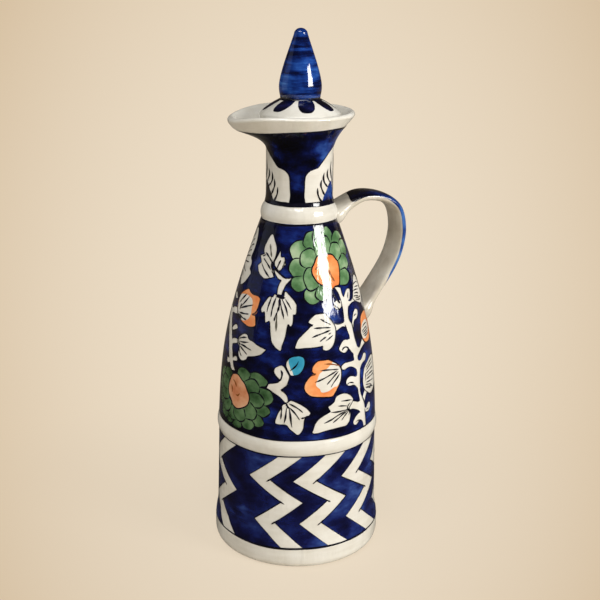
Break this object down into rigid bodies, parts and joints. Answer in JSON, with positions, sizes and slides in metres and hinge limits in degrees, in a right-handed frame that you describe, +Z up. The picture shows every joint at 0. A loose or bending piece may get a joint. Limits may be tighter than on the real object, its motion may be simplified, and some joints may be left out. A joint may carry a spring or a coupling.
{
  "type": "oil bottle",
  "caption": "Glazed pottery oil bottle: tapered body with raised bands, strap handle, pouring lip and a lift-out stopper with a pointed knob and ribbed gasket.",
  "frame": {"origin": "centre of the flat foot, on the surface the bottle stands on", "axes": "+Z up along the bottle's axis, -X towards the pouring lip; the handle stands 12 degrees from +X towards +Y"},
  "size_m": [0.1013, 0.088, 0.2657],
  "materials": {
    "painted_glaze": "clear glaze over hand-painted cobalt, green and orange on a cream ground",
    "cream_glaze": "glossy cream glaze with a blue brushed stripe",
    "lid_glaze": "glossy cream glaze with blue brushed petals",
    "knob_glaze": "glossy brushed blue glaze",
    "gasket": "translucent matt silicone"
  },
  "bodies": {
    "bottle": {"bottle_body": "painted_glaze", "handle": "cream_glaze"},
    "seal": {"stopper_gasket": "gasket"},
    "stopper": {"stopper_lid": "lid_glaze", "stopper_knob": "knob_glaze"}
  },
  "joints": [
    {"name": "stopper_lift", "type": "slide", "parent": "bottle", "child": "seal", "axis": [0, 0, 1], "range_m": [0, 0.05]},
    {"name": "stopper_turn", "type": "hinge", "parent": "seal", "child": "stopper", "pos_m": [0, 0, 0.2], "axis": [0, 0, 1], "continuous": true}
  ]
}
